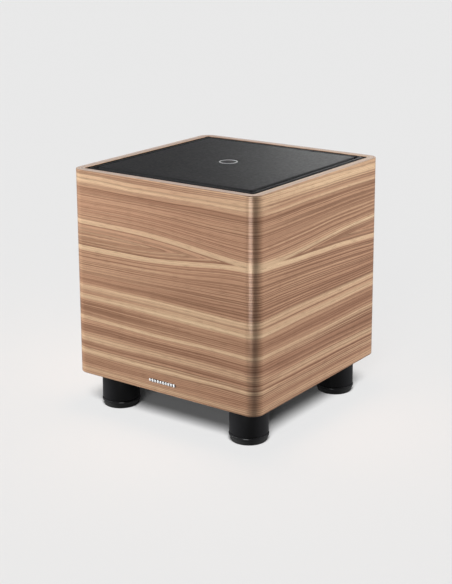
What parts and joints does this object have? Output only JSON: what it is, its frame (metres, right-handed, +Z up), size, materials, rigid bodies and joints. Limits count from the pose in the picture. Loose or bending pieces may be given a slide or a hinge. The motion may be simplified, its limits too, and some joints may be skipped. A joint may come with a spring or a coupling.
{
  "type": "powered subwoofer",
  "caption": "Compact powered subwoofer: walnut-veneered box on tall round feet, padded leather top, floor-firing woofer and rear amplifier plate.",
  "frame": {"origin": "on the floor, under the middle of the whole object", "axes": "+Z up, the front with the badge faces -Y, the amplifier plate faces +Y"},
  "size_m": [0.32, 0.3372, 0.361],
  "materials": {
    "walnut": "satin lacquered walnut veneer",
    "fibreboard": "raw fibreboard",
    "black_board": "fibreboard painted matt black",
    "beech": "raw beech",
    "leather": "fine-grained charcoal leather",
    "leather_border": "fine-grained charcoal leather",
    "badge_chrome": "polished",
    "emblem_metal": "satin chrome",
    "foot_black": "satin black powder coat",
    "ring_gloss": "gloss black",
    "foot_rubber": "matt",
    "zinc_steel": "zinc plated",
    "black_steel": "black oxide",
    "brass": "machined",
    "cast_frame": "cast, black powder coat",
    "magnet_steel": "passivated",
    "ferrite": "matt",
    "cone_black": "coated black pulp",
    "cap_black": "coated black pulp",
    "surround_rubber": "semi matt",
    "trim_rubber": "matt",
    "foam": "closed-cell foam",
    "former_metal": "thin sheet",
    "copper": "enamelled copper wire",
    "spider_cloth": "resin-dipped cotton",
    "tinsel": "braided, tinned",
    "wadding": "polyester wadding",
    "plate_black": "black anodised",
    "heatsink_alu": "extruded",
    "knob_black": "matt",
    "abs_black": "moulded",
    "gloss_black": "gloss",
    "phono_nickel": "nickel plated",
    "pin_metal": "nickel-plated brass",
    "shaft_metal": "turned",
    "led_lens": "clear blue",
    "fuse_ceramic": "glazed",
    "transformer_wrap": "copper windings on a steel core, under polyester tape",
    "board_green": "solder mask",
    "can_sleeve": "sleeved",
    "wire_black": "insulated wire"
  },
  "bodies": {
    "cabinet": {"cabinet_core": "fibreboard", "walnut_veneer": "walnut", "base_board": "black_board", "top_board": "black_board", "brace": "fibreboard", "foot_blocks": "beech", "wadding": "wadding", "top_border": "leather_border", "top_backing": "fibreboard", "top_leather": "leather", "emblem_ring": "emblem_metal", "front_badge": "badge_chrome", "foot_columns": "foot_black", "foot_rings": "ring_gloss", "foot_pads": "foot_rubber", "foot_bolts": "zinc_steel", "foot_inserts": "brass", "woofer_frame": "cast_frame", "woofer_gasket": "foam", "woofer_screws": "black_steel", "woofer_trim_ring": "trim_rubber", "woofer_surround": "surround_rubber", "woofer_spider": "spider_cloth", "magnet_top_plate": "magnet_steel", "magnet_rings": "ferrite", "magnet_yoke": "magnet_steel", "woofer_terminals": "abs_black", "tinsel_leads": "tinsel", "amp_plate": "plate_black", "amp_gasket": "foam", "amp_screws": "black_steel", "pot_bodies": "abs_black", "switch_cases": "abs_black", "rca_shells": "phono_nickel", "rca_insulators": "abs_black", "status_led": "led_lens", "mains_inlet": "abs_black", "inlet_pins": "pin_metal", "rocker_housing": "abs_black", "transformer": "transformer_wrap", "transformer_mount": "zinc_steel", "circuit_board": "board_green", "board_standoffs": "brass", "panel_screws": "black_steel", "filter_parts": "can_sleeve", "heatsink": "heatsink_alu", "speaker_wires": "wire_black"},
    "cone": {"woofer_cone": "cone_black", "woofer_dust_cap": "cap_black", "coil_former": "former_metal", "voice_coil": "copper"},
    "level": {"level_knob": "knob_black", "level_shaft": "shaft_metal"},
    "crossover": {"crossover_knob": "knob_black", "crossover_shaft": "shaft_metal"},
    "phase": {"phase_button": "abs_black"},
    "power_mode": {"power_mode_button": "abs_black"},
    "rocker": {"power_rocker": "gloss_black"},
    "drawer": {"fuse_drawer": "abs_black", "fuse": "fuse_ceramic"}
  },
  "joints": [
    {"name": "cone_travel", "type": "slide", "parent": "cabinet", "child": "cone", "axis": [0, 0, -1], "range_m": [-0.01, 0.01], "stiffness_N_per_m": 3000, "springref_m": -0.0004, "deforming": ["woofer_surround", "woofer_spider", "tinsel_leads"]},
    {"name": "level_turn", "type": "hinge", "parent": "cabinet", "child": "level", "pos_m": [-0.058, 0.1556, 0.298], "axis": [0, 1, 0], "range_deg": [-150, 150]},
    {"name": "crossover_turn", "type": "hinge", "parent": "cabinet", "child": "crossover", "pos_m": [-0.014, 0.1556, 0.298], "axis": [0, 1, 0], "range_deg": [-150, 150]},
    {"name": "phase_slide", "type": "slide", "parent": "cabinet", "child": "phase", "axis": [1, 0, 0], "range_m": [0, 0.006]},
    {"name": "power_mode_slide", "type": "slide", "parent": "cabinet", "child": "power_mode", "axis": [1, 0, 0], "range_m": [-0.003, 0.003]},
    {"name": "rocker_tilt", "type": "hinge", "parent": "cabinet", "child": "rocker", "pos_m": [0.045, 0.1526, 0.172], "axis": [-1, 0, 0], "range_deg": [0, 18]},
    {"name": "drawer_pull", "type": "slide", "parent": "cabinet", "child": "drawer", "axis": [0, 1, 0], "range_m": [0, 0.016]}
  ]
}
